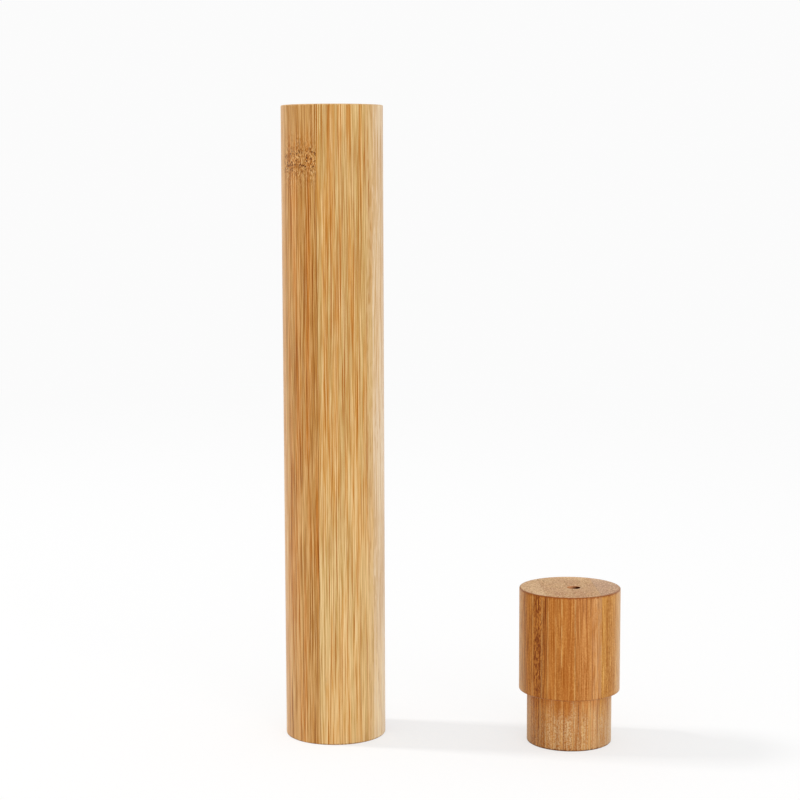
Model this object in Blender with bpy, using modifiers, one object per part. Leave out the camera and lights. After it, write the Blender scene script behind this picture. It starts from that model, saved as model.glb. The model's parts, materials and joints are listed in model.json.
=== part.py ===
# Travel toothbrush case in laminated bamboo: a turned tube, and its cap, taken off and stood on its plug.
# Metres, +Z up. The origin is the centre of the tube's foot, and -Y is the front.

import math

import bmesh
import bpy
from mathutils import Matrix, Vector

# Tube
OUTER_RADIUS = 0.014
TUBE_LENGTH = 0.176
TUBE_WALL = 0.0021
TUBE_FLOOR = 0.006
BORE_CORNER = 0.0012

# Cap
HEAD_HEIGHT = 0.0287
PLUG_LENGTH = 0.0147
PLUG_CLEARANCE = 0.00015
PLUG_WALL = 0.003
CAP_TOP = 0.007
VENT_RADIUS = 0.0017
VENT_X = 0.0010
VENT_Y = -0.0006
CAP_X = 0.0654
CAP_Y = -0.0090

# Both
EDGE_ROUNDING = 0.0003
TURN_STEPS = 96
EDGE_STEPS = 3

# Lamination: layers of strips, with a film of glue between them
LAYER_THICKNESS = 0.00745
GLUE_LINE = 0.0001

# The tube's layers are stacked from back to front, and the cap's from left to right.
# A glue plane is placed by its distance from the piece's axis, along the stack.
TUBE_STACK_ANGLE = math.radians(263.1)
TUBE_FIRST_GLUE = -0.0076
TUBE_FRONT_JOINT = -0.0022
TUBE_JOINT_STAGGER = 0.0100
CAP_STACK_ANGLE = math.radians(3.0)
CAP_FIRST_GLUE = -0.0078
CAP_JOINT = 0.0050

# Sizes that follow from the ones above
BORE_RADIUS = OUTER_RADIUS - TUBE_WALL
PLUG_RADIUS = BORE_RADIUS - PLUG_CLEARANCE
CAVITY_RADIUS = PLUG_RADIUS - PLUG_WALL
CAP_HEIGHT = HEAD_HEIGHT + PLUG_LENGTH
CAVITY_DEPTH = CAP_HEIGHT - CAP_TOP
REACH = 2 * OUTER_RADIUS

# Colours as 0 to 255 in sRGB, from the photograph
AMBER = (194, 140, 78)
STRAW = (210, 164, 106)
PALE = (220, 186, 140)
CHESTNUT = (158, 97, 45)
HONEY = (181, 114, 54)
TAN = (200, 142, 84)


def linear(channel):
    value = channel / 255
    return value / 12.92 if value <= 0.04045 else ((value + 0.055) / 1.055) ** 2.4


def bamboo(name, colour):
    material = bpy.data.materials.new(name)
    material.use_nodes = True
    shader = material.node_tree.nodes["Principled BSDF"]
    shader.inputs["Base Color"].default_value = (*map(linear, colour), 1)
    shader.inputs["Roughness"].default_value = 0.55
    shader.inputs["Metallic"].default_value = 0
    return material


def add_object(name, mesh, collection, parent=None):
    obj = bpy.data.objects.new(name, mesh)
    obj.parent = parent
    collection.objects.link(obj)
    return obj


def add_helper(name, mesh, parent=None):
    helper = add_object(name, mesh, cutters, parent)
    helper.hide_render = True
    helper.display_type = "WIRE"
    return helper


def rounded(before, corner, after, radius):
    """Points of the arc that rounds a right-angled corner of a profile."""
    start = corner + (before - corner).normalized() * radius
    end = corner + (after - corner).normalized() * radius
    centre = start + end - corner
    points = []
    for step in range(EDGE_STEPS + 1):
        angle = math.pi / 2 * step / EDGE_STEPS
        points.append(centre + (start - centre) * math.cos(angle) + (end - centre) * math.sin(angle))
    return points


def turned_profile(name, corners):
    """A mesh of edges, from (radius, height, rounding) corners that start and end on the axis."""
    flat = [Vector(corner[:2]) for corner in corners]
    points = []
    for index, corner in enumerate(corners):
        if corner[2]:
            points += rounded(flat[index - 1], flat[index], flat[index + 1], corner[2])
        else:
            points.append(flat[index])
    mesh = bpy.data.meshes.new(name)
    edges = [(index, index + 1) for index in range(len(points) - 1)]
    mesh.from_pydata([(radius, 0, height) for radius, height in points], edges, [])
    return mesh


def tube_profile():
    return turned_profile("tube_profile", [
        (0, TUBE_FLOOR, 0),
        (BORE_RADIUS, TUBE_FLOOR, BORE_CORNER),
        (BORE_RADIUS, TUBE_LENGTH, EDGE_ROUNDING),
        (OUTER_RADIUS, TUBE_LENGTH, EDGE_ROUNDING),
        (OUTER_RADIUS, 0, EDGE_ROUNDING),
        (0, 0, 0),
    ])


def cap_profile():
    return turned_profile("cap_profile", [
        (0, CAP_HEIGHT, 0),
        (OUTER_RADIUS, CAP_HEIGHT, EDGE_ROUNDING),
        (OUTER_RADIUS, PLUG_LENGTH, EDGE_ROUNDING),
        (PLUG_RADIUS, PLUG_LENGTH, 0),
        (PLUG_RADIUS, 0, EDGE_ROUNDING),
        (CAVITY_RADIUS, 0, EDGE_ROUNDING),
        (CAVITY_RADIUS, CAVITY_DEPTH, BORE_CORNER),
        (0, CAVITY_DEPTH, 0),
    ])


def box_cutter(name, parent, stack_angle, stack_range, side_range, height):
    """A box turned with the lamination: its X runs along the stack and its Y along each strip's width."""
    size = Vector((stack_range[1] - stack_range[0], side_range[1] - side_range[0], 3 * height))
    middle = Vector((sum(stack_range) / 2, sum(side_range) / 2, height / 2))
    shape = bmesh.new()
    place = Matrix.Rotation(stack_angle, 4, "Z") @ Matrix.Translation(middle) @ Matrix.Diagonal((*size, 1))
    bmesh.ops.create_cube(shape, size=1, matrix=place)
    mesh = bpy.data.meshes.new(name)
    shape.to_mesh(mesh)
    shape.free()
    return add_helper(name, mesh, parent)


def vent_cutter(parent):
    shape = bmesh.new()
    height = 2 * CAP_TOP
    place = Matrix.Translation((VENT_X, VENT_Y, CAP_HEIGHT - CAP_TOP / 2))
    bmesh.ops.create_cone(shape, cap_ends=True, segments=TURN_STEPS // 3, radius1=VENT_RADIUS,
                          radius2=VENT_RADIUS, depth=height, matrix=place)
    mesh = bpy.data.meshes.new("cap_vent_cutter")
    shape.to_mesh(mesh)
    shape.free()
    return add_helper("cap_vent_cutter", mesh, parent)


def cut(obj, operation, other):
    boolean = obj.modifiers.new(operation.title(), "BOOLEAN")
    boolean.operation = operation
    boolean.solver = "EXACT"
    boolean.object = other


def apply_modifiers(obj):
    graph = bpy.context.evaluated_depsgraph_get()
    mesh = bpy.data.meshes.new_from_object(obj.evaluated_get(graph))
    obj.modifiers.clear()
    obj.data = mesh
    mesh.shade_smooth()
    mesh.set_sharp_from_angle(angle=math.radians(30))


def turned_strip(name, profile, keep, vent, material, parent):
    """One strip of a turned piece: the whole turned shape, less what lies outside the strip's box."""
    strip = add_object(name, profile, parts, parent)
    turn = strip.modifiers.new("Turn", "SCREW")
    turn.steps = turn.render_steps = TURN_STEPS
    turn.use_merge_vertices = True
    turn.merge_threshold = 0.000001
    if vent:
        cut(strip, "DIFFERENCE", vent)
    cut(strip, "INTERSECT", keep)
    apply_modifiers(strip)
    strip.data.name = name
    strip.data.materials.append(material)


def laminated(prefix, profile, height, stack_angle, first_glue, layers, sides, vent, parent):
    """Cuts a turned piece into its glued strips, layer by layer along the stack."""
    planes = [first_glue + LAYER_THICKNESS * index for index in range(len(layers) - 1)]
    gap = GLUE_LINE / 2
    lows = [-REACH] + [plane + gap for plane in planes]
    highs = [plane - gap for plane in planes] + [REACH]
    for (layer, joint, materials), low, high in zip(layers, lows, highs):
        if joint is None:
            strips = [("", (-REACH, REACH))]
        else:
            strips = [(f"_{sides[0]}", (-REACH, joint - gap)), (f"_{sides[1]}", (joint + gap, REACH))]
        for (side, side_range), material in zip(strips, materials):
            name = f"{prefix}_{layer}{side}_strip"
            keep = box_cutter(f"{name}_box", parent, stack_angle, (low, high), side_range, height)
            turned_strip(name, profile, keep, vent, material, parent)


def build_tube():
    amber = bamboo("tube_bamboo_amber", AMBER)
    straw = bamboo("tube_bamboo_straw", STRAW)
    pale = bamboo("tube_bamboo_pale", PALE)
    staggered = TUBE_FRONT_JOINT + TUBE_JOINT_STAGGER
    layers = [
        ("back", None, [straw]),
        ("mid_back", TUBE_FRONT_JOINT, [straw, amber]),
        ("mid_front", staggered, [amber, pale]),
        ("front", TUBE_FRONT_JOINT, [amber, straw]),
    ]
    laminated("tube", tube_profile(), TUBE_LENGTH, TUBE_STACK_ANGLE, TUBE_FIRST_GLUE, layers,
              ("left", "right"), None, None)


def build_cap():
    chestnut = bamboo("cap_bamboo_chestnut", CHESTNUT)
    honey = bamboo("cap_bamboo_honey", HONEY)
    tan = bamboo("cap_bamboo_tan", TAN)
    axis = add_object("cap_axis", None, parts)
    axis.location = (CAP_X, CAP_Y, 0)
    layers = [
        ("left", None, [chestnut]),
        ("mid_left", -CAP_JOINT, [honey, honey]),
        ("mid_right", CAP_JOINT, [honey, honey]),
        ("right", None, [tan]),
    ]
    laminated("cap", cap_profile(), CAP_HEIGHT, CAP_STACK_ANGLE, CAP_FIRST_GLUE, layers,
              ("front", "back"), vent_cutter(axis), axis)


for old in list(bpy.data.objects):
    bpy.data.objects.remove(old)

parts = bpy.data.collections.new("travel_toothbrush_case")
cutters = bpy.data.collections.new("cutters")
for group in (parts, cutters):
    bpy.context.scene.collection.children.link(group)

build_tube()
build_cap()
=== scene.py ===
import json
import math
from functools import reduce
import bmesh
import bpy
from mathutils import Matrix, Vector


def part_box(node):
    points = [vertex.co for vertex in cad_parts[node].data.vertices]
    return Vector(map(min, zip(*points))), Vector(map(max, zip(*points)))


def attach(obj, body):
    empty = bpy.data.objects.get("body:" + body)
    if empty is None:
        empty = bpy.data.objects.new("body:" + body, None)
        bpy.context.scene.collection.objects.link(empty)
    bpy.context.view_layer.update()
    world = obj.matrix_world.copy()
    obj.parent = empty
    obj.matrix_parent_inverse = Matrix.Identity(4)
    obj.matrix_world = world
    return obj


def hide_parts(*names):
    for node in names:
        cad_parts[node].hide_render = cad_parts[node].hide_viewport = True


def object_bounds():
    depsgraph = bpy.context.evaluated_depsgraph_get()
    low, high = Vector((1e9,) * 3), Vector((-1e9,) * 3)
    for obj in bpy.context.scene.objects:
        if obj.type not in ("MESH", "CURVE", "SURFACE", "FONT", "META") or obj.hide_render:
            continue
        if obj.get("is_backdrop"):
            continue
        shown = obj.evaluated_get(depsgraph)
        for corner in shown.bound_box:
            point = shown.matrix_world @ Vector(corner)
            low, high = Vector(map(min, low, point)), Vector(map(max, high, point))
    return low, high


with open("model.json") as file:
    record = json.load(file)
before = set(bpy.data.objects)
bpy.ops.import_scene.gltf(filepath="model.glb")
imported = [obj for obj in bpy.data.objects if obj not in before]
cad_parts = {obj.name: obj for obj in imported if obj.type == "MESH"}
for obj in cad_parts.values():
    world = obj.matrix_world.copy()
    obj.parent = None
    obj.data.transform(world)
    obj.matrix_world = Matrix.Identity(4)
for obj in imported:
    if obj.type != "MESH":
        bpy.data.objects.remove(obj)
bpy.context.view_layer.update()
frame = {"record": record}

mm = 0.001


# Small helpers for node trees

def fillSockets(tree, sockets, values):
    # a value is another node's output, which is linked, or a constant
    for name, value in values.items():
        if isinstance(value, bpy.types.NodeSocket):
            tree.links.new(value, sockets[name])
        else:
            sockets[name].default_value = value


def addNode(tree, kind, inputs=None, **settings):
    made = tree.nodes.new(kind)
    for name, value in settings.items():
        setattr(made, name, value)
    fillSockets(tree, made.inputs, inputs or {})
    return made


def calc(tree, operation, *values):
    return addNode(tree, "ShaderNodeMath", dict(enumerate(values)), operation=operation).outputs[0]


def total(tree, *values):
    return reduce(lambda first, second: calc(tree, "ADD", first, second), values)


def product(tree, *values):
    return reduce(lambda first, second: calc(tree, "MULTIPLY", first, second), values)


def minus(tree, first, second):
    return calc(tree, "SUBTRACT", first, second)


def vectorCalc(tree, operation, *values, output="Vector"):
    inputs = dict(enumerate(values))
    return addNode(tree, "ShaderNodeVectorMath", inputs, operation=operation).outputs[output]


def vectorTotal(tree, *values):
    return reduce(lambda first, second: vectorCalc(tree, "ADD", first, second), values)


def joined(tree, x, y, z):
    return addNode(tree, "ShaderNodeCombineXYZ", {"X": x, "Y": y, "Z": z}).outputs[0]


def axesOf(tree, vector):
    return addNode(tree, "ShaderNodeSeparateXYZ", {0: vector}).outputs


def levelPart(tree, vector):
    return vectorCalc(tree, "MULTIPLY", vector, (1.0, 1.0, 0.0))


def levelLength(tree, vector):
    return vectorCalc(tree, "LENGTH", levelPart(tree, vector), output="Value")


def ramp(tree, value, low, high, toLow=0.0, toHigh=1.0):
    # a smooth step from low to high
    inputs = {"Value": value, "From Min": low, "From Max": high, "To Min": toLow, "To Max": toHigh}
    return addNode(tree, "ShaderNodeMapRange", inputs, interpolation_type="SMOOTHSTEP").outputs["Result"]


def mixed(tree, factor, first, second):
    # the factor is held between 0 and 1
    return addNode(tree, "ShaderNodeMix", {0: factor, 6: first, 7: second}, data_type="RGBA").outputs[2]


def noise(tree, place, size, detail=2.0, roughness=0.5, output="Fac"):
    inputs = {"Vector": vectorCalc(tree, "DIVIDE", place, size), "Scale": 1.0, "Detail": detail,
              "Roughness": roughness}
    return addNode(tree, "ShaderNodeTexNoise", inputs).outputs[output]


def scattered(tree, place, size):
    # how far the nearest of many scattered points is, and random values for that point
    inputs = {"Vector": vectorCalc(tree, "DIVIDE", place, size), "Scale": 1.0}
    found = addNode(tree, "ShaderNodeTexVoronoi", inputs).outputs
    return found["Distance"], addNode(tree, "ShaderNodeSeparateColor", {"Color": found["Color"]}).outputs


def centred(tree, value, *amounts):
    # noise lies about a half, and this puts it about zero
    return product(tree, minus(tree, value, 0.5), *amounts)


def centredVector(tree, value, amounts):
    return vectorCalc(tree, "MULTIPLY", vectorCalc(tree, "SUBTRACT", value, (0.5, 0.5, 0.5)), amounts)


def newGroup(name, inputs, outputs, kind="ShaderNodeTree"):
    # an input is given by its default value, or by the last word of its socket's type
    words = {float: "Float", tuple: "Vector", list: "Color"}
    tree = bpy.data.node_groups.new(name, kind)
    for socketName, value in inputs.items():
        word = words.get(type(value), value)
        socket = tree.interface.new_socket(socketName, in_out="INPUT", socket_type="NodeSocket" + word)
        if word is not value:
            socket.default_value = value
    for socketName, word in outputs.items():
        tree.interface.new_socket(socketName, in_out="OUTPUT", socket_type="NodeSocket" + word)
    return tree, tree.nodes.new("NodeGroupInput").outputs, tree.nodes.new("NodeGroupOutput").inputs


def placeGroup(tree, group, inputs):
    return addNode(tree, "ShaderNodeGroup", inputs, node_tree=group).outputs


def srgb(red, green, blue):
    # a colour given as 0 to 255, made linear
    channels = [value / 255 for value in (red, green, blue)]
    return [c / 12.92 if c <= 0.04045 else ((c + 0.055) / 1.055) ** 2.4 for c in channels] + [1.0]


def tones(names, *colors):
    return {name: srgb(*color) for name, color in zip(names, colors)}


def grey(value):
    return [value] * 3 + [1.0]


# Sizes read from the frame

def nodesBox(body):
    names = frame["record"]["behaviour"]["bodies"][body]
    boxes = [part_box(name) for name in names]
    low = Vector([min(box[0][axis] for box in boxes) for axis in range(3)])
    high = Vector([max(box[1][axis] for box in boxes) for axis in range(3)])
    return low, high


tubeLow, tubeHigh = nodesBox("tube")
capLow, capHigh = nodesBox("cap")
outerRadius = (tubeHigh.x - tubeLow.x) / 2


# The turned pieces: a profile is turned about its axis, then each glued strip is cut from it

tube = {
    "axis": (tubeLow + tubeHigh) / 2,
    "height": tubeHigh.z,
    "boreRadius": 11.9 * mm,
    "floor": 6.0 * mm,
    "boreCorner": 1.2 * mm,
    "stackAngle": math.radians(263.1),
    "firstGlue": -7.6 * mm,
    "joint": -2.2 * mm,
    "jointStagger": 10.0 * mm,
}

cap = {
    "axis": (capLow + capHigh) / 2,
    "height": capHigh.z,
    "plugLength": 14.7 * mm,
    "plugRadius": 11.75 * mm,
    "cavityRadius": 8.75 * mm,
    "topThickness": 7.0 * mm,
    "boreCorner": 1.2 * mm,
    "stackAngle": math.radians(3.0),
    "firstGlue": -7.8 * mm,
    "joint": 5.0 * mm,
}

vent = {
    "radius": 1.7 * mm,
    "offset": (1.0 * mm, -0.6 * mm),
    "drillLength": 4 * cap["topThickness"],
    "sides": 48,
    "rings": 24,
    "brokenDepth": 0.8 * mm,
    "brokenWidth": 0.22 * mm,
    "brokenGrain": (0.7 * mm, 0.7 * mm, 3.0 * mm),
    "finishReach": 2.5,  # in broken widths
    "uprightBelow": 0.7,
}

turning = {
    "edgeRounding": 0.3 * mm,
    "stepsRound": 192,
    "stepsInCorner": 4,
    "closeWithin": 0.001 * mm,
    "sharpAngle": math.radians(28),
    "layerThickness": 7.45 * mm,
    "glueFilm": 0.04 * mm,
}

# each layer of the glued stack, with the place of its butt joint where it is of two strips
tube["layers"] = (("back", None), ("mid_back", tube["joint"]),
                  ("mid_front", tube["joint"] + tube["jointStagger"]), ("front", tube["joint"]))
tube["sideNames"] = ("_left", "_right")
cap["layers"] = (("left", None), ("mid_left", -cap["joint"]), ("mid_right", cap["joint"]), ("right", None))
cap["sideNames"] = ("_front", "_back")


def turnedStripTree():
    tree, given, result = newGroup("turned strip", {
        "Profile": "Geometry", "Axis": "Vector", "Steps round": "Int", "Steps in a corner": "Int",
        "Stack angle": "Float", "Strip middle": "Vector", "Strip size": "Vector", "Finish": "Material",
    }, {"Strip": "Geometry"}, "GeometryNodeTree")

    rounding = addNode(tree, "GeometryNodeInputNamedAttribute", {"Name": "rounding"}, data_type="FLOAT")
    outline = addNode(tree, "GeometryNodeMeshToCurve", {"Mesh": given["Profile"]})
    fillet = addNode(tree, "GeometryNodeFilletCurve", {
        "Curve": outline.outputs[0], "Count": given["Steps in a corner"], "Radius": rounding.outputs[0]},
        mode="POLY").outputs[0]
    size = addNode(tree, "GeometryNodeAttributeDomainSize", {"Geometry": fillet}, component="CURVE")

    # a flat grid is rolled up: each row is a point of the profile, and each step a turn of it
    rowLength = total(tree, given["Steps round"], 1.0)
    grid = addNode(tree, "GeometryNodeMeshGrid", {
        "Size X": 1.0, "Size Y": 1.0, "Vertices X": size.outputs["Point Count"], "Vertices Y": rowLength})
    index = addNode(tree, "GeometryNodeInputIndex").outputs[0]
    row = calc(tree, "FLOOR", calc(tree, "DIVIDE", total(tree, index, 0.5), rowLength))
    step = minus(tree, index, product(tree, row, rowLength))
    position = addNode(tree, "GeometryNodeInputPosition").outputs[0]
    sample = addNode(tree, "GeometryNodeSampleIndex", {"Geometry": fillet, "Value": position, "Index": row},
                     data_type="FLOAT_VECTOR", domain="POINT")
    point = axesOf(tree, sample.outputs[0])
    angle = product(tree, step, calc(tree, "DIVIDE", math.tau, given["Steps round"]))
    turned = joined(tree, product(tree, point["X"], calc(tree, "COSINE", angle)),
                    product(tree, point["X"], calc(tree, "SINE", angle)), point["Z"])
    lathed = addNode(tree, "GeometryNodeSetPosition", {
        "Geometry": grid.outputs["Mesh"], "Position": vectorTotal(tree, turned, given["Axis"])})
    closed = addNode(tree, "GeometryNodeMergeByDistance", {
        "Geometry": lathed.outputs[0], "Distance": turning["closeWithin"]})

    block = addNode(tree, "GeometryNodeMeshCube", {"Size": given["Strip size"]})
    shifted = addNode(tree, "GeometryNodeTransform", {
        "Geometry": block.outputs["Mesh"], "Translation": given["Strip middle"]})
    placed = addNode(tree, "GeometryNodeTransform", {
        "Geometry": shifted.outputs[0], "Translation": given["Axis"],
        "Rotation": joined(tree, 0.0, 0.0, given["Stack angle"])})
    cut = addNode(tree, "GeometryNodeMeshBoolean", operation="INTERSECT", solver="EXACT")
    for shape in (closed, placed):
        tree.links.new(shape.outputs[0], cut.inputs["Mesh 2"])
    real = addNode(tree, "GeometryNodeRealizeInstances", {"Geometry": cut.outputs["Mesh"]})
    finished = addNode(tree, "GeometryNodeSetMaterial", {
        "Geometry": real.outputs[0], "Material": given["Finish"]})
    fillSockets(tree, result, {"Strip": finished.outputs[0]})
    return tree


def ventTree():
    # a drilled hole whose mouth is broken out a little, as drilled bamboo is
    tree, given, result = newGroup("drilled vent", {
        "Strip": "Geometry", "Mouth": "Vector", "Radius": "Float", "Depth": "Float", "Broken depth": "Float",
        "Broken width": "Float", "Sides": "Int", "Rings": "Int", "Finish": "Material",
    }, {"Strip": "Geometry"}, "GeometryNodeTree")

    drill = addNode(tree, "GeometryNodeMeshCylinder", {
        "Vertices": given["Sides"], "Side Segments": given["Rings"],
        "Radius": given["Radius"], "Depth": given["Depth"]})
    position = addNode(tree, "GeometryNodeInputPosition").outputs[0]
    nearMouth = ramp(tree, axesOf(tree, position)["Z"], product(tree, given["Broken depth"], -1.0), 0.0)
    rough = noise(tree, position, vent["brokenGrain"], detail=3.0)
    wider = product(tree, nearMouth, given["Broken width"], product(tree, rough, 2.0))
    factor = total(tree, 1.0, calc(tree, "DIVIDE", wider, given["Radius"]))
    flared = addNode(tree, "GeometryNodeSetPosition", {
        "Geometry": drill.outputs["Mesh"],
        "Position": vectorCalc(tree, "MULTIPLY", position, joined(tree, factor, factor, 1.0))})
    placed = addNode(tree, "GeometryNodeTransform", {
        "Geometry": flared.outputs[0], "Translation": given["Mouth"]})
    cut = addNode(tree, "GeometryNodeMeshBoolean", {"Mesh 1": given["Strip"], "Mesh 2": placed.outputs[0]},
                  operation="DIFFERENCE", solver="EXACT")
    real = addNode(tree, "GeometryNodeRealizeInstances", {"Geometry": cut.outputs["Mesh"]})
    # only the drilled faces, which are upright and close to the drill's axis, take its finish
    out = levelLength(tree, vectorCalc(tree, "SUBTRACT", position, given["Mouth"]))
    reach = total(tree, given["Radius"], product(tree, given["Broken width"], vent["finishReach"]))
    facing = addNode(tree, "GeometryNodeInputNormal").outputs[0]
    slope = calc(tree, "ABSOLUTE", axesOf(tree, facing)["Z"])
    upright = calc(tree, "LESS_THAN", slope, vent["uprightBelow"])
    drilled = product(tree, calc(tree, "LESS_THAN", out, reach), upright)
    finished = addNode(tree, "GeometryNodeSetMaterial", {
        "Geometry": real.outputs[0], "Selection": drilled, "Material": given["Finish"]})
    fillSockets(tree, result, {"Strip": finished.outputs[0]})
    return tree


def profileMesh(name, corners):
    # corners are (radius, height, rounding), from the axis round to the axis again
    mesh = bpy.data.meshes.new(name)
    mesh.from_pydata([(radius, 0, height) for radius, height, _ in corners],
                     [(i, i + 1) for i in range(len(corners) - 1)], [])
    rounding = mesh.attributes.new("rounding", "FLOAT", "POINT")
    for i, corner in enumerate(corners):
        rounding.data[i].value = corner[2]
    return mesh


def tubeProfile():
    edge = turning["edgeRounding"]
    return profileMesh("tubeProfile", [
        (0, tube["floor"], 0),
        (tube["boreRadius"], tube["floor"], tube["boreCorner"]),
        (tube["boreRadius"], tube["height"], edge),
        (outerRadius, tube["height"], edge),
        (outerRadius, 0, edge),
        (0, 0, 0),
    ])


def capProfile():
    edge = turning["edgeRounding"]
    ceiling = cap["height"] - cap["topThickness"]
    return profileMesh("capProfile", [
        (0, cap["height"], 0),
        (outerRadius, cap["height"], edge),
        (outerRadius, cap["plugLength"], edge),
        (cap["plugRadius"], cap["plugLength"], 0),
        (cap["plugRadius"], 0, edge),
        (cap["cavityRadius"], 0, edge),
        (cap["cavityRadius"], ceiling, cap["boreCorner"]),
        (0, ceiling, 0),
    ])


def addTree(obj, tree, values):
    # puts a node tree on an object, with its inputs set by identifier
    modifier = obj.modifiers.new(tree.name, "NODES")
    modifier.node_group = tree
    identifiers = {item.name: item.identifier for item in tree.interface.items_tree
                   if item.item_type == "SOCKET" and item.in_out == "INPUT"}
    for name, value in values.items():
        modifier[identifiers[name]] = value


def makePlain(obj):
    # the evaluated shape becomes the object's own mesh
    shape = bpy.data.meshes.new_from_object(obj.evaluated_get(bpy.context.evaluated_depsgraph_get()))
    obj.modifiers.clear()
    obj.data = shape
    shape.name = obj.name
    shape.shade_smooth()
    shape.set_sharp_from_angle(angle=turning["sharpAngle"])


def stripBlock(part, layer, side, joint):
    # the middle and the size of a strip's block, measured along the stack, across it and up;
    # an outer side lies well past the turned shape
    reach = 2 * outerRadius
    film = turning["glueFilm"] / 2
    last = len(part["layers"]) - 1
    low = -reach if layer == 0 else part["firstGlue"] + (layer - 1) * turning["layerThickness"] + film
    high = reach if layer == last else part["firstGlue"] + layer * turning["layerThickness"] - film
    left = joint + film if side > 0 else -reach
    right = joint - film if side < 0 else reach
    middle = ((low + high) / 2, (left + right) / 2, part["height"] / 2)
    return middle, (high - low, right - left, 3 * part["height"])


def makeStrip(name, body, part, block, material, drilled):
    middle, size = block
    strip = bpy.data.objects.new(name + "_wood", part["profile"])
    bpy.context.scene.collection.objects.link(strip)
    addTree(strip, stripTree, {
        "Axis": (part["axis"].x, part["axis"].y, 0.0),
        "Steps round": turning["stepsRound"],
        "Steps in a corner": turning["stepsInCorner"],
        "Stack angle": part["stackAngle"],
        "Strip middle": middle,
        "Strip size": size,
        "Finish": material,
    })
    if drilled:
        addTree(strip, drillTree, {
            "Mouth": (part["axis"].x + vent["offset"][0], part["axis"].y + vent["offset"][1], part["height"]),
            "Radius": vent["radius"],
            "Depth": vent["drillLength"],
            "Broken depth": vent["brokenDepth"],
            "Broken width": vent["brokenWidth"],
            "Sides": vent["sides"],
            "Rings": vent["rings"],
            "Finish": drilled,
        })
    makePlain(strip)
    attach(strip, body)
    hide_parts(name)


# The wood, as a few node groups that every strip uses

rimRadius = outerRadius / mm

# how large each pattern is, in millimetres: across the layers, along a layer and up the grain
pattern = {
    "sway": (9.0, 9.0, 80.0),
    "bands": (2.6, 2.6, 90.0),
    "patches": (2.4, 2.4, 32.0),
    "hairs": (0.16, 0.16, 7.0),
    "pores": (0.4, 0.4, 0.46),
    "flecks": (0.34, 0.34, 1.1),
    "knotEdge": (0.9, 0.9, 9.0),
    "knotCurl": (0.8, 0.8, 1.1),
    "knotSpecks": (0.52, 0.52, 0.7),
    "knotTicks": (0.36, 0.36, 1.7),
    "endDots": (0.72, 0.72, 1.0),
    "endBlotches": (3.0, 5.0, 1.0),
    "endFlecks": (0.36, 1.2, 1.0),
    "veinWear": (0.6, 0.6, 4.0),
    "veinEnds": (0.5, 0.5, 30.0),
    "edgeWear": (0.5, 0.5, 0.5),
    "dustGrit": (0.38, 0.38, 0.45),
    "dustStreaks": (0.32, 0.32, 16.0),
    "dustClouds": (2.2, 2.2, 9.0),
    "drillRings": (1.0, 1.0, 0.35),
    "drillFur": (0.25, 0.25, 0.8),
}

# how strongly each pattern shows in the tone, which is dark below zero and pale above it
weight = {
    "bands": 3.0,
    "fibres": 2.8,
    "deepestFibres": -0.6,
    "hairs": 1.4,
    "pores": 1.6,
    "nearKnot": 0.5,
    "knot": -0.14,
    "streak": -1.0,
    "foot": 0.35,
    "top": 0.16,
}

# the knot's reach as shares of its size, its ragged edge, and how far its fibres are thrown about
knotForm = {
    "core": 0.6,
    "edge": 1.3,
    "around": 3.2,
    "ragged": 3.6,
    "thrownAside": 0.7,
    "thrownUp": 90.0,
    "cutEnds": (0.9, 0.9, 0.008),
}

# the thinnest and the thickest bundles, as shares of their spacing; the pale ones lie closer
bundles = {
    "dark": (0.14, 0.32),
    "pale": (0.12, 0.28),
    "paleSpacing": 0.8,
    "paleShift": (17.3, 5.1, 71.0),
}

# how the turned surface runs in and out of the fibres
run = {
    "width": 2.0,
    "footSpeed": -1.2,
    "radius": rimRadius,
}

# how far through the cane one step of the seed goes
seedStep = (37.0, 61.0, 173.0)


def spindles(tree, place, width, length, share, thickness):
    # long thin bundles scattered through the wood: a mask, and a random value for each bundle
    thin, fat = thickness
    distance, chance = scattered(tree, place, joined(tree, width, width, length))
    reach = total(tree, thin, product(tree, chance[1], fat - thin))
    inside = ramp(tree, distance, reach, product(tree, reach, 0.6))
    return product(tree, inside, calc(tree, "LESS_THAN", chance[0], share)), chance[2]


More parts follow.
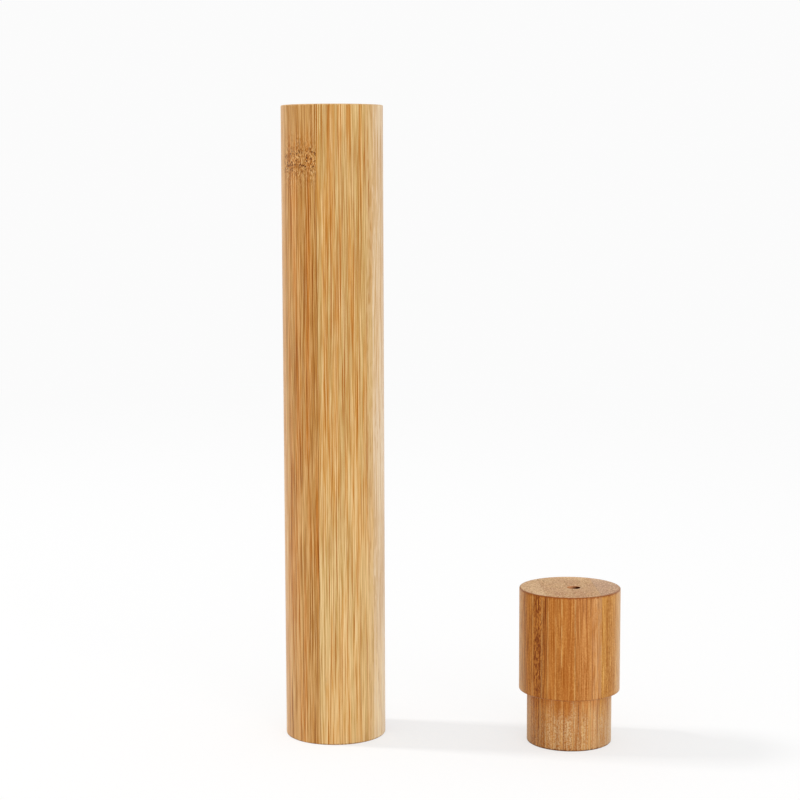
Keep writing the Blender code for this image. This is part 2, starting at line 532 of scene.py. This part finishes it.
def grainGroup():
    tree, given, result = newGroup("bamboo grain", {
        "Place": "Vector", "Seed": 0.0,
        "Dark": "Color", "Ground": "Color", "Pale": "Color",
        "Warm": "Color", "Warmth": 0.6, "Warm length": 60.0,
        "Fibres": 1.6, "Line width": 0.18, "Line length": 24.0,
        "Bundles": 0.5, "Bundle spacing": 0.5, "Bundle length": 90.0, "Bundle share": 0.5, "Pale share": 0.35,
        "Bands": 0.2, "Dots": 0.12, "Wander": 0.16,
        "Run out": 1.0, "Run length": 20.0, "Short below": 0.0,
        "Paler below": 0.0, "Paler above": 1000.0,
        "Streak axis": (1.0, 0.0, 0.0), "Streak at": 0.0, "Streak width": 1.0, "Streak": 0.0,
        "Streak above": -1000.0, "Slope": 0.0,
        "Knot height": -1000.0, "Knot slope": 0.0, "Knot size": 3.0, "Knot dark": "Color",
    }, {"Color": "Color", "Tone": "Float", "Relief": "Float"})

    # the knot is the band where the cane had a joint, with its fibres in a tangle
    axes = axesOf(tree, given["Place"])
    height = axes["Z"]
    ragged = centred(tree, noise(tree, given["Place"], pattern["knotEdge"]), knotForm["ragged"])
    middle = total(tree, given["Knot height"], product(tree, axes["Y"], given["Knot slope"]), ragged)
    away = calc(tree, "ABSOLUTE", minus(tree, height, middle))
    core, edge, around = (product(tree, given["Knot size"], knotForm[share])
                          for share in ("core", "edge", "around"))
    knot = ramp(tree, away, edge, core)
    near = ramp(tree, away, around, 0.0)
    curl = noise(tree, given["Place"], pattern["knotCurl"], output="Color")
    aside = product(tree, near, knotForm["thrownAside"])
    thrown = joined(tree, aside, aside, product(tree, knot, knotForm["thrownUp"]))
    tangle = centredVector(tree, curl, thrown)

    # the turned surface runs in and out of the straight fibres, which ends each line it shows;
    # near the foot it does so faster
    level = vectorCalc(tree, "NORMALIZE", levelPart(tree, given["Place"]))
    below = calc(tree, "MAXIMUM", minus(tree, given["Short below"], height), 0.0)
    faster = joined(tree, 0.0, 0.0, product(tree, below, run["footSpeed"]))
    runSize = joined(tree, run["width"], run["width"], given["Run length"])
    runOut = noise(tree, vectorTotal(tree, given["Place"], faster), runSize, detail=1.0)
    runOut = centred(tree, runOut, given["Run out"])
    moved = vectorCalc(tree, "MULTIPLY", level, joined(tree, runOut, runOut, 0.0))
    # each strip comes from its own place in the cane, and its fibres sway a little
    seeds = joined(tree, *[product(tree, given["Seed"], shift) for shift in seedStep])
    fromPlace = vectorTotal(tree, tangle, seeds)
    seeded = vectorTotal(tree, given["Place"], fromPlace)
    sway = noise(tree, seeded, pattern["sway"], detail=1.0, output="Color")
    swayed = centredVector(tree, sway, joined(tree, given["Wander"], given["Wander"], 0.0))
    place = vectorTotal(tree, seeded, swayed, moved)
    # single fibres lie in the surface itself, so they are read on one round of it
    onRound = vectorCalc(tree, "MULTIPLY", level, (run["radius"], run["radius"], 0.0))
    straight = vectorTotal(tree, onRound, joined(tree, 0.0, 0.0, height), fromPlace, swayed)

    # dark bundles, pale streaks between them, broad bands, single fibres and pores
    dark, darkChance = spindles(tree, straight, given["Bundle spacing"], given["Bundle length"],
                                given["Bundle share"], bundles["dark"])
    apart = vectorTotal(tree, straight, bundles["paleShift"])
    closer = product(tree, given["Bundle spacing"], bundles["paleSpacing"])
    light, lightChance = spindles(tree, apart, closer, given["Bundle length"], given["Pale share"],
                                  bundles["pale"])
    band = noise(tree, place, pattern["bands"])
    lineSize = joined(tree, given["Line width"], given["Line width"], given["Line length"])
    lines = noise(tree, straight, lineSize, detail=1.0)
    hair = noise(tree, straight, pattern["hairs"], detail=1.0)
    pores = noise(tree, place, pattern["pores"], detail=1.0)
    flecks = noise(tree, place, pattern["flecks"], detail=1.0)
    patch = noise(tree, seeded, pattern["patches"])

    dotted = total(tree, 1.0, product(tree, ramp(tree, pores, 0.58, 0.4, -1.0, 1.0), given["Dots"]))
    darkness = product(tree, dark, ramp(tree, patch, 0.38, 0.62, 0.15, 1.0),
                       total(tree, 0.35, product(tree, darkChance, 0.65)), dotted)
    paleness = product(tree, light, total(tree, 0.3, product(tree, lightChance, 0.7)))
    # one broad dark streak, where a layer holds the dense skin side of the cane
    side = vectorCalc(tree, "DOT_PRODUCT", given["Place"], given["Streak axis"], output="Value")
    side = minus(tree, side, given["Streak at"])
    sloped = product(tree, side, given["Slope"])
    side = calc(tree, "ABSOLUTE", total(tree, side, centred(tree, patch, 0.8)))
    grainy = product(tree, ramp(tree, flecks, 0.56, 0.4, 0.0, 1.2), given["Dots"])
    solid = product(tree, ramp(tree, lines, 0.62, 0.4, 0.4, 1.0),
                    minus(tree, 1.0, product(tree, given["Dots"], 0.75)))
    streak = product(tree, ramp(tree, side, given["Streak width"], product(tree, given["Streak width"], 0.5)),
                     given["Streak"], total(tree, grainy, solid),
                     ramp(tree, minus(tree, height, given["Streak above"]), -3.0, 3.0, 0.35, 1.0))

    busy = ramp(tree, patch, 0.35, 0.65, 0.45, 1.0)
    tone = total(tree, product(tree, minus(tree, paleness, darkness), given["Bundles"]),
                 centred(tree, band, given["Bands"], weight["bands"]),
                 centred(tree, lines, given["Fibres"], weight["fibres"]),
                 product(tree, ramp(tree, lines, 0.44, 0.26, 0.0, weight["deepestFibres"]), given["Fibres"]),
                 centred(tree, hair, given["Fibres"], weight["hairs"]),
                 centred(tree, pores, given["Dots"], busy, weight["pores"]))
    tone = product(tree, tone, total(tree, 1.0, product(tree, near, weight["nearKnot"])))
    low = ramp(tree, minus(tree, height, given["Paler below"]), 0.0, -90.0)
    high = ramp(tree, minus(tree, height, given["Paler above"]), 0.0, 10.0)
    tone = total(tree, tone, product(tree, low, weight["foot"]), product(tree, knot, weight["knot"]),
                 product(tree, streak, weight["streak"]), sloped, product(tree, high, weight["top"]))
    warm = noise(tree, straight, joined(tree, 1.9, 1.9, given["Warm length"]), roughness=0.6)
    warm = product(tree, ramp(tree, warm, 0.42, 0.6), given["Warmth"], minus(tree, 1.0, high))
    color = mixed(tree, warm, given["Ground"], given["Warm"])
    color = mixed(tree, tone, color, given["Pale"])
    color = mixed(tree, product(tree, tone, -1.0), color, given["Dark"])

    # the cut ends of bundles in the knot, and short dark ticks above and below it
    bent = vectorTotal(tree, given["Place"], vectorCalc(tree, "MULTIPLY", tangle, knotForm["cutEnds"]))
    distance, chance = scattered(tree, bent, pattern["knotSpecks"])
    specks = product(tree, ramp(tree, distance, 0.55, 0.3), ramp(tree, chance[0], 0.6, 0.3), knot)
    pits = product(tree, ramp(tree, distance, 0.5, 0.2), ramp(tree, chance[0], 0.68, 0.95), knot, 0.8)
    ticks = noise(tree, given["Place"], pattern["knotTicks"], detail=1.0)
    ticks = product(tree, ramp(tree, ticks, 0.56, 0.68, 0.0, 0.75), near, minus(tree, 1.0, knot))
    for mask, tint in ((ticks, "Knot dark"), (specks, "Knot dark"), (pits, "Pale")):
        color = mixed(tree, mask, color, given[tint])
    relief = total(tree, product(tree, tone, 0.5), hair, product(tree, specks, -1.5))
    fillSockets(tree, result, {"Color": color, "Tone": tone, "Relief": relief})
    return tree


def endGrainGroup():
    # sawn across the fibres: the bundles show as dots, on a duller, paler ground
    tree, given, result = newGroup("end grain", {
        "Place": "Vector", "Normal": "Vector", "Color": "Color", "Ground": "Color", "Second ground": "Color",
        "Dot": "Color", "Pale fleck": srgb(246, 214, 170), "Contrast": 1.2,
    }, {"Color": "Color", "Sawn": "Float", "Relief": "Float"})
    up = calc(tree, "ABSOLUTE", axesOf(tree, given["Normal"])["Z"])
    sawn = ramp(tree, up, 0.75, 0.97)
    # nearly the same at every height, as the bundles run straight up
    flat = vectorCalc(tree, "MULTIPLY", given["Place"], (1.0, 1.0, 0.02))
    distance, chance = scattered(tree, flat, pattern["endDots"])
    dots = product(tree, ramp(tree, distance, 0.5, 0.22), ramp(tree, chance[0], 0.8, 0.1))
    blotch = noise(tree, flat, pattern["endBlotches"])
    fleck = noise(tree, flat, pattern["endFlecks"])
    amount = product(tree, dots, ramp(tree, blotch, 0.7, 0.35, 0.5, 1.0), given["Contrast"])
    color = mixed(tree, ramp(tree, blotch, 0.4, 0.62), given["Ground"], given["Second ground"])
    color = mixed(tree, amount, color, given["Dot"])
    color = mixed(tree, ramp(tree, fleck, 0.52, 0.68, 0.0, 0.72), color, given["Dot"])
    color = mixed(tree, ramp(tree, fleck, 0.48, 0.32, 0.0, 0.66), color, given["Pale fleck"])
    fillSockets(tree, result, {
        "Color": mixed(tree, sawn, given["Color"], color), "Sawn": sawn,
        "Relief": total(tree, product(tree, dots, -0.6), fleck)})
    return tree


def newEffect(name, inputs):
    # a group that tints a colour where its pattern lies
    onColor = {"Place": "Vector", "Color": "Color", "Tint": "Color"}
    return newGroup(name, {**onColor, **inputs}, {"Color": "Color"})


def tinted(tree, given, result, amount):
    fillSockets(tree, result, {"Color": mixed(tree, amount, given["Color"], given["Tint"])})
    return tree


def layerLineGroup():
    # a line that lies in a layer: the pale glue film, pale and dark veins, broad patches, and on the cap a
    # painted highlight along each silhouette
    tree, given, result = newEffect("layerLine", {
        "At": 0.0, "Width": 0.22, "Amount": 0.6, "From": -1000.0, "To": 1000.0, "Fade": 2.5})
    axes = axesOf(tree, given["Place"])
    away = calc(tree, "ABSOLUTE", minus(tree, axes["X"], given["At"]))
    uneven = noise(tree, given["Place"], pattern["veinWear"])
    fromEnds = calc(tree, "MINIMUM", minus(tree, axes["Z"], given["From"]),
                    minus(tree, given["To"], axes["Z"]))
    ragged = noise(tree, given["Place"], pattern["veinEnds"], detail=1.0)
    fromEnds = total(tree, fromEnds, centred(tree, ragged, given["Fade"], 2.0))
    line = product(tree, ramp(tree, away, given["Width"], product(tree, given["Width"], 0.4)),
                   ramp(tree, uneven, 0.38, 0.58, 0.25, 1.0), given["Amount"],
                   ramp(tree, fromEnds, 0.0, given["Fade"]))
    return tinted(tree, given, result, line)


def turnedEdgeGroup():
    # a thin uneven line along a turned edge, in a darker or paler tint; the tube's pale top line is a painted
    # highlight, and the dark line along the lower edge of the cap's head is painted shade
    tree, given, result = newEffect("turned edge", {
        "Centre": "Vector", "Radius": rimRadius, "Reach": 0.4, "Amount": 0.7})
    away = vectorCalc(tree, "SUBTRACT", given["Place"], given["Centre"])
    up = axesOf(tree, away)["Z"]
    out = minus(tree, levelLength(tree, away), given["Radius"])
    gap = calc(tree, "SQRT", total(tree, product(tree, up, up), product(tree, out, out)))
    uneven = noise(tree, given["Place"], pattern["edgeWear"])
    reach = product(tree, given["Reach"], ramp(tree, uneven, 0.3, 0.7, 0.5, 1.6))
    edge = product(tree, ramp(tree, gap, reach, product(tree, reach, 0.3)), given["Amount"])
    return tinted(tree, given, result, edge)


def dustAndShadeGroup():
    # fine pale sanding dust left in the grain, thinner towards the top, so that the barer band under the
    # cap's head is partly painted shade
    tree, given, result = newEffect("sanding dust and shade", {"Top": "Float", "Full below": 6.0, "Amount": 0.66})
    height = axesOf(tree, given["Place"])["Z"]
    grit = noise(tree, given["Place"], pattern["dustGrit"], detail=1.0)
    streaks = noise(tree, given["Place"], pattern["dustStreaks"], detail=1.0)
    cloud = centred(tree, noise(tree, given["Place"], pattern["dustClouds"]), 14.0)
    low = ramp(tree, total(tree, height, cloud), given["Top"], given["Full below"])
    dustAndShadeAmount = product(tree, low, calc(tree, "LESS_THAN", height, given["Top"]),
                    ramp(tree, streaks, 0.34, 0.64, 0.25, 1.15), ramp(tree, grit, 0.34, 0.66, 0.3, 1.6),
                    given["Amount"])
    return tinted(tree, given, result, dustAndShadeAmount)


def boredGroup():
    # inside a bored hole: darker, with fine rings; in the vent this is painted shade, on the side away from
    # the light
    tree, given, result = newEffect("bored wood", {
        "Centre": "Vector", "Radius": "Float", "Softness": 0.1, "From": "Float", "To": "Float",
        "Amount": 0.5})
    height = axesOf(tree, given["Place"])["Z"]
    radius = levelLength(tree, vectorCalc(tree, "SUBTRACT", given["Place"], given["Centre"]))
    outside = total(tree, given["Radius"], given["Softness"])
    inside = product(tree, ramp(tree, radius, outside, given["Radius"]),
                     calc(tree, "GREATER_THAN", height, given["From"]),
                     calc(tree, "LESS_THAN", height, given["To"]))
    rings = noise(tree, joined(tree, 0.0, 0.0, height), pattern["drillRings"])
    fur = noise(tree, given["Place"], pattern["drillFur"])
    worn = total(tree, 0.4, product(tree, rings, 0.6), product(tree, fur, 0.6))
    return tinted(tree, given, result, product(tree, inside, worn, given["Amount"]))


surface = {
    "ior": 1.25,
    "sheen": 0.52,
    "sheenRoughness": 0.36,
    "sheenTint": srgb(255, 228, 192),
    "roughness": 0.4,
    "sawnRoughness": 0.25,
    "toneRoughness": -0.06,
    "bump": 0.3,
    "bumpDepth": 0.03 * mm,
}


def bambooMaterial(name, part, wood, seed, finish):
    look = {**surface, **finish}
    material = bpy.data.materials.new(name)
    material.use_nodes = True
    tree = material.node_tree
    coords = addNode(tree, "ShaderNodeTexCoord").outputs
    # the place in the strip, in millimetres: across the layers, along a layer, and up the grain
    place = addNode(tree, "ShaderNodeMapping", {
        "Vector": coords["Object"], "Location": (part["axis"].x, part["axis"].y, 0.0),
        "Rotation": (0.0, 0.0, part["stackAngle"]), "Scale": (mm, mm, mm)}, vector_type="TEXTURE").outputs[0]

    def withEffects(color, kinds):
        for kind in kinds:
            for values in look.get(kind, ()):
                color = placeGroup(tree, groups[kind], {"Place": place, "Color": color, **values})["Color"]
        return color

    grain = placeGroup(tree, groups["grain"], {"Place": place, "Seed": seed, **wood, **look.get("grain", {})})
    color = withEffects(grain["Color"], ("dust", "layerLines"))
    sawn = placeGroup(tree, groups["end"], {
        "Place": place, "Normal": coords["Normal"], "Color": color, **look["end"]})
    rough = total(tree, look["roughness"], product(tree, sawn["Sawn"], look["sawnRoughness"]),
                  product(tree, grain["Tone"], look["toneRoughness"]))
    height = mixed(tree, sawn["Sawn"], grain["Relief"], sawn["Relief"])
    bump = addNode(tree, "ShaderNodeBump", {
        "Height": height, "Strength": look["bump"], "Distance": look["bumpDepth"]})
    fillSockets(tree, tree.nodes["Principled BSDF"].inputs, {
        "Base Color": withEffects(sawn["Color"], ("bored", "edges")),
        "Roughness": rough,
        "Normal": bump.outputs[0],
        "IOR": look["ior"],
        "Sheen Weight": look["sheen"],
        "Sheen Roughness": look["sheenRoughness"],
        "Sheen Tint": look["sheenTint"],
    })
    return material


print("Making the wood")
groups = {"grain": grainGroup(), "end": endGrainGroup(), "edges": turnedEdgeGroup(),
          "dust": dustAndShadeGroup(), "bored": boredGroup(), "layerLines": layerLineGroup()}

grainTones = ("Dark", "Ground", "Pale", "Warm")
endTones = ("Ground", "Second ground", "Dot")
capWood = {"Fibres": 1.15, "Bundles": 0.46, "Dots": 1.25, "Line width": 0.2, "Line length": 12.0,
           "Warmth": 0.3, "Bundle length": 36.0}
woods = {
    "amber": {**tones(grainTones, (142, 77, 8), (183, 128, 58), (224, 180, 120), (197, 120, 38)),
              "Bundles": 0.42, "Warmth": 0.8, "Fibres": 1.5},
    "straw": {**tones(grainTones, (170, 99, 20), (197, 155, 88), (235, 202, 146), (208, 147, 68)),
              "Bundles": 0.1, "Bands": 0.1, "Warmth": 0.9, "Warm length": 48.0, "Pale share": 0.2,
              "Wander": 0.08, "Fibres": 1.38},
    "pale": tones(grainTones, (190, 135, 70), (230, 197, 154), (247, 230, 198), (231, 187, 129)),
    "chestnut": {**capWood, **tones(grainTones, (126, 58, 0), (180, 109, 38), (214, 147, 66), (176, 99, 34)),
                 "Fibres": 1.35, "Dots": 1.45},
    "honey": {**capWood, **tones(grainTones, (155, 82, 2), (187, 117, 44), (218, 153, 76), (188, 111, 43))},
    "tan": {**capWood, **tones(grainTones, (164, 97, 14), (200, 139, 64), (231, 178, 99), (202, 133, 61)),
            "Fibres": 1.1},
}

# the finishes give sizes and heights in millimetres
tubeTop = tube["height"] / mm
capTop = cap["height"] / mm
plugTop = cap["plugLength"] / mm
ventCentre = Matrix.Rotation(-cap["stackAngle"], 3, "Z") @ Vector((*vent["offset"], cap["height"])) / mm
tube["finish"] = {
    "end": tones(endTones, (226, 188, 136), (212, 168, 116), (156, 98, 46)),
    "edges": [
        {"Tint": srgb(120, 70, 28), "Amount": 0.75},
        # painted highlight: a pale line along the top rim, where the rounded lip catches light from above
        {"Centre": (0, 0, tubeTop), "Tint": srgb(222, 184, 132), "Amount": 0.6},
    ],
    "bored": [{"Radius": tube["boreRadius"] / mm + 0.02, "From": 1.0, "To": tubeTop - 0.3,
               "Tint": srgb(150, 100, 54)}],
}
# the plug's dust, thin under the head, so that the darker band there is partly painted shade
capDustAndShade = {"Top": plugTop, "Tint": srgb(214, 176, 126)}
cap["finish"] = {
    "end": tones(endTones, (220, 173, 128), (203, 150, 112), (160, 100, 58)),
    "edges": [
        {"Centre": ventCentre, "Radius": vent["radius"] / mm + 0.2, "Tint": srgb(232, 196, 152),
         "Reach": 0.35},
        {"Centre": (0, 0, capTop), "Tint": srgb(148, 76, 20), "Reach": 0.6, "Amount": 0.85},
        # painted shade: a darker line along the lower edge of the head, where it overhangs the plug
        {"Centre": (0, 0, plugTop), "Tint": srgb(140, 72, 24), "Amount": 0.6},
        {"Radius": cap["plugRadius"] / mm, "Tint": srgb(96, 50, 20), "Reach": 0.5, "Amount": 0.9},
    ],
    "bored": [
        {"Radius": cap["cavityRadius"] / mm + 0.02, "From": 0.3, "To": capTop - 4.0,
         "Tint": srgb(140, 92, 50)},
        # painted shade: the vent's wall darkened on the side away from the light
        {"Radius": 1.2, "Softness": 1.6, "Centre": ventCentre + Vector((1.2, 0.0, 0.0)),
         "From": capTop - 9.0, "To": capTop - 0.08, "Tint": srgb(64, 16, 0), "Amount": 1.1},
    ],
    "dust": [capDustAndShade],
    "sheen": 0.56,
    "sheenTint": srgb(255, 224, 172),
}

# where the finish of a wood differs from that of its part
woodFinish = {
    "pale": {"sheen": 0.6, "sheenTint": srgb(255, 238, 214)},
    "chestnut": {
        "end": tones(endTones, (238, 198, 156), (224, 180, 140), (176, 120, 76)),
        "dust": [{**capDustAndShade, "Amount": 0.32}],
    },
    "tan": {
        "end": tones(endTones, (206, 157, 119), (190, 136, 104), (152, 94, 56)),
        "dust": [{**capDustAndShade, "Amount": 0.85, "Tint": srgb(216, 182, 140)}],
        "sheen": 0.7,
        "sheenTint": srgb(255, 232, 200),
    },
}


def layerLine(at, width, amount, color, **more):
    return {"At": at, "Width": width, "Amount": amount, "Tint": srgb(*color), **more}


def paleLine(at, width=0.22, amount=0.5, **more):
    return layerLine(at, width, amount, (228, 180, 112), **more)


def darkVein(at, width=0.22, amount=0.55, **more):
    return layerLine(at, width, amount, (120, 58, 8), **more)


def broadPatch(amount, color, **ends):
    return layerLine(3.6, 9.0, amount, color, Fade=18.0, **ends)


# the colours of the right-hand layers run into each other along their glue line
rightGlue = (tube["firstGlue"] + 2 * turning["layerThickness"]) / mm
tubeStrips = {
    "tube_front_left_strip": {"wood": "amber", "seed": 1.0, "grain": {
        "Knot height": 161.0, "Knot slope": 0.05, "Knot dark": srgb(88, 40, 4), "Run length": 34.0,
        "Paler below": 80.0, "Paler above": 163.0,
        "Streak axis": (0.0, 1.0, 0.0), "Streak at": -2.9, "Slope": -0.012}},
    "tube_front_right_strip": {"wood": "straw", "seed": 2.0, "grain": {
        "Short below": 34.0, "Paler below": 110.0, "Streak axis": (0.0, 1.0, 0.0), "Slope": 0.01},
        "layerLines": [layerLine(rightGlue, 2.6, 0.4, (234, 202, 156))]},
    # a paler amber; this strip shows only along the left silhouette, where its paleness is partly its own and
    # partly painted reflection of the white surroundings
    "tube_mid_front_left_strip": {"wood": "amber", "seed": 3.0, "grain": tones(
        grainTones, (168, 102, 36), (210, 158, 94), (234, 196, 142), (204, 140, 72))},
    "tube_mid_front_right_strip": {"wood": "pale", "seed": 4.0, "grain": {"Paler below": 110.0}, "layerLines": [
        layerLine(rightGlue, 1.8, 0.4, (200, 158, 96)),
        broadPatch(0.5, (205, 158, 95), From=126.0, To=172.0),
        broadPatch(0.45, (250, 232, 204), From=68.0, To=106.0),
        broadPatch(0.4, (205, 158, 95), From=24.0, To=72.0),
        broadPatch(0.5, (255, 228, 178), To=38.0),
    ]},
    "tube_mid_back_left_strip": {"wood": "straw", "seed": 5.0},
    "tube_mid_back_right_strip": {"wood": "amber", "seed": 6.0, "grain": {
        "Knot height": 58.0, "Knot slope": -0.08, "Knot dark": srgb(96, 48, 14)}},
    "tube_back_strip": {"wood": "straw", "seed": 7.0},
}

onPlug = {"To": plugTop + 0.8}
capStrips = {
    "cap_left_strip": {"wood": "chestnut", "seed": 8.0, "grain": {
        "Streak at": -10.1, "Streak width": 1.4, "Streak": 0.74, "Streak above": 15.0}, "layerLines": [
        # painted highlight: a pale band along the left silhouette, standing in for the white surroundings'
        # reflection at grazing angles
        paleLine(-14.2, 1.8, 0.35),
        darkVein(-13.1, 0.2, 0.4),
        paleLine(-11.35, 0.25, 0.3),
        paleLine(-9.1, 0.3, 0.4),
        darkVein(-8.7, 1.0, 0.3),
        darkVein(-9.45, amount=0.65, **onPlug),
    ]},
    "cap_mid_left_front_strip": {"wood": "honey", "seed": 9.0, "grain": tones(
        grainTones, (155, 82, 2), (181, 110, 40), (210, 145, 70), (180, 104, 38)), "layerLines": [
        paleLine(-7.55, amount=0.36),
        paleLine(-5.6, 0.3, 0.25),
        darkVein(-4.7, 0.9, 0.2),
        paleLine(-4.05, From=22.0),
        paleLine(-0.5),
        paleLine(-6.1, 0.25, 0.25, **onPlug),
        paleLine(-3.55, 0.3, **onPlug),
        darkVein(-3.0, amount=0.5, **onPlug),
    ]},
    "cap_mid_left_back_strip": {"wood": "honey", "seed": 10.0, "layerLines": [paleLine(-7.55), paleLine(-0.5)]},
    "cap_mid_right_front_strip": {"wood": "honey", "seed": 11.0, "grain": {
        **tones(grainTones, (157, 88, 18), (189, 122, 56), (219, 158, 90), (191, 117, 56)),
        "Streak at": 2.0, "Slope": 0.075}, "layerLines": [
        layerLine(7.3, 4.0, 0.3, (234, 190, 140)),
        darkVein(0.55, From=13.0, To=22.0),
        darkVein(1.85, From=37.5),
        darkVein(2.55, From=34.0),
        darkVein(3.85, From=36.0),
        darkVein(4.45, To=29.0),
        darkVein(5.95, From=34.5),
        darkVein(6.5, 0.7, 0.25),
        darkVein(0.95, amount=0.65, **onPlug),
        paleLine(2.2, 0.4, **onPlug),
        paleLine(4.15, 0.6, **onPlug),
        darkVein(6.5, 0.3, 0.3, **onPlug),
    ]},
    "cap_mid_right_back_strip": {"wood": "honey", "seed": 12.0},
    "cap_right_strip": {"wood": "tan", "seed": 13.0, "grain": {
        "Streak at": 9.3, "Streak width": 1.2, "Streak": 0.5, "Streak above": 15.0}, "layerLines": [
        layerLine(8.7, 1.9, 0.38, (176, 112, 44)),
        # painted highlight: a pale band along the right silhouette, standing in for the white surroundings'
        # reflection at grazing angles
        layerLine(12.6, 1.2, 0.3, (240, 200, 150)),
    ]},
}

# inside the vent the wood is painted lighter, standing in for light, and the cap's bored tint paints shade on
# the side away from the light
ventPaintedFinish = {**cap["finish"], "sheen": 0.0, "ior": 1.08, "dust": [], "edges": [], "grain": tones(
    grainTones, (190, 120, 70), (236, 164, 112), (250, 190, 140), (226, 150, 96))}
cap["ventWood"] = bambooMaterial("cap_vent_bamboo_painted_light_and_shade", cap, woods["honey"], 9.0, ventPaintedFinish)


def makeStrips(body, part, strips):
    for layer, (place, joint) in enumerate(part["layers"]):
        whole = joint is None
        for side, sideName in ((0, ""),) if whole else zip((-1, 1), part["sideNames"]):
            name = f"{body}_{place}{sideName}_strip"
            wood = strips[name]["wood"]
            finish = {**part["finish"], **strips[name], **woodFinish.get(wood, {})}
            material = bambooMaterial(name + "_bamboo", part, woods[wood], strips[name]["seed"], finish)
            makeStrip(name, body, part, stripBlock(part, layer, side, joint), material,
                      None if whole else part.get("ventWood"))


print("Turning the tube's strips")
stripTree = turnedStripTree()
tube["profile"] = tubeProfile()
makeStrips("tube", tube, tubeStrips)

print("Turning the cap's strips")
drillTree = ventTree()
cap["profile"] = capProfile()
makeStrips("cap", cap, capStrips)


# The studio: a white sweep, one soft lamp from the left, a wide fill and white surroundings

view = {
    "place": (0.01845, -0.53905, 0.15833),
    "tilt": math.radians(6.7344),
    "roll": math.radians(-0.1684),
    "lens": 87.64,
    "sensorWidth": 36.0,
    "nearest": 0.01,
    "furthest": 100.0,
}

studio = {
    "floorRadius": 12.0,
    "floorSides": 96,
    "floorGlow": 0.645,
    "floorColor": 0.35,
    "floorBounce": 0.85,
    "floorRoughness": 0.9,
    "sweepStart": 0.25,
    "sweepEnd": 0.9,
    "backColor": 0.967,
    "surroundings": 0.66,
}

lamps = {
    "key_softbox": {"azimuth": 170.5, "elevation": 58.8, "distance": 3.2, "size": 0.22, "power": 34.0,
                    "gloss": 1.0},
    "fill_panel": {"azimuth": -72.0, "elevation": 8.0, "distance": 1.6, "size": 1.2, "power": 12.0,
                   "gloss": 0.0},
}


def makeCamera():
    data = bpy.data.cameras.new("camera")
    data.lens = view["lens"]
    data.sensor_width = view["sensorWidth"]
    data.clip_start = view["nearest"]
    data.clip_end = view["furthest"]
    camera = bpy.data.objects.new("camera", data)
    bpy.context.scene.collection.objects.link(camera)
    tilt = Matrix.Rotation(math.pi / 2 - view["tilt"], 4, "X")
    roll = Matrix.Rotation(view["roll"], 4, "Z")
    camera.matrix_world = Matrix.Translation(view["place"]) @ tilt @ roll
    bpy.context.scene.camera = camera


def seenDirectly(tree):
    # 1 for what the camera, a gloss or a see-through surface shows, 0 for what only lights the object
    rays = addNode(tree, "ShaderNodeLightPath").outputs
    either = calc(tree, "MAXIMUM", rays["Is Camera Ray"], rays["Is Glossy Ray"])
    return calc(tree, "MAXIMUM", either, rays["Is Transmission Ray"])


def mixShaders(tree, factor, first, second, output):
    mix = addNode(tree, "ShaderNodeMixShader", {0: factor, 1: first.outputs[0], 2: second.outputs[0]})
    fillSockets(tree, tree.nodes[output].inputs, {"Surface": mix.outputs[0]})


def makeFloor():
    mesh = bpy.data.meshes.new("floor")
    builder = bmesh.new()
    bmesh.ops.create_circle(builder, cap_ends=True, segments=studio["floorSides"],
                             radius=studio["floorRadius"])
    builder.to_mesh(mesh)
    builder.free()
    material = bpy.data.materials.new("white_sweep")
    material.use_nodes = True
    tree = material.node_tree
    seen = seenDirectly(tree)
    shader = tree.nodes["Principled BSDF"]
    fillSockets(tree, shader.inputs, {
        "Base Color": mixed(tree, seen, grey(studio["floorBounce"]), grey(studio["floorColor"])),
        "Roughness": studio["floorRoughness"],
        "Specular IOR Level": 0.0,
        "Emission Color": grey(1.0),
        "Emission Strength": product(tree, seen, studio["floorGlow"]),
    })
    # further off, the floor goes over into the plain background
    reach = levelLength(tree, addNode(tree, "ShaderNodeTexCoord").outputs["Object"])
    fade = product(tree, ramp(tree, reach, studio["sweepStart"], studio["sweepEnd"]), seen)
    plain = addNode(tree, "ShaderNodeEmission", {"Color": grey(studio["backColor"]), "Strength": 1.0})
    mixShaders(tree, fade, shader, plain, "Material Output")
    mesh.materials.append(material)
    floor = bpy.data.objects.new("floor", mesh)
    bpy.context.scene.collection.objects.link(floor)
    floor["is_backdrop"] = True


def makeWorld():
    world = bpy.data.worlds.new("studio_white")
    bpy.context.scene.world = world
    world.use_nodes = True
    tree = world.node_tree
    around = tree.nodes["Background"]
    fillSockets(tree, around.inputs, {"Color": grey(studio["surroundings"])})
    shown = addNode(tree, "ShaderNodeBackground", {"Color": grey(studio["backColor"]), "Strength": 1.0})
    mixShaders(tree, seenDirectly(tree), around, shown, "World Output")


def addLamp(name, lamp):
    data = bpy.data.lights.new(name, "AREA")
    data.shape = "SQUARE"
    data.size = lamp["size"]
    data.energy = lamp["power"]
    data.specular_factor = lamp["gloss"]
    light = bpy.data.objects.new(name, data)
    bpy.context.scene.collection.objects.link(light)
    azimuth = math.radians(lamp["azimuth"])
    elevation = math.radians(lamp["elevation"])
    towards = Vector((math.cos(azimuth) * math.cos(elevation), math.sin(azimuth) * math.cos(elevation),
                      math.sin(elevation)))
    low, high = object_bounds()
    middle = (low + high) / 2
    light.location = Vector((middle.x, middle.y, 0)) + towards * lamp["distance"]
    light.rotation_euler = towards.to_track_quat("Z", "Y").to_euler()


print("Setting up the studio")
makeCamera()
makeFloor()
makeWorld()
for lampName, lamp in lamps.items():
    addLamp(lampName, lamp)
bpy.context.scene.view_settings.view_transform = "Standard"
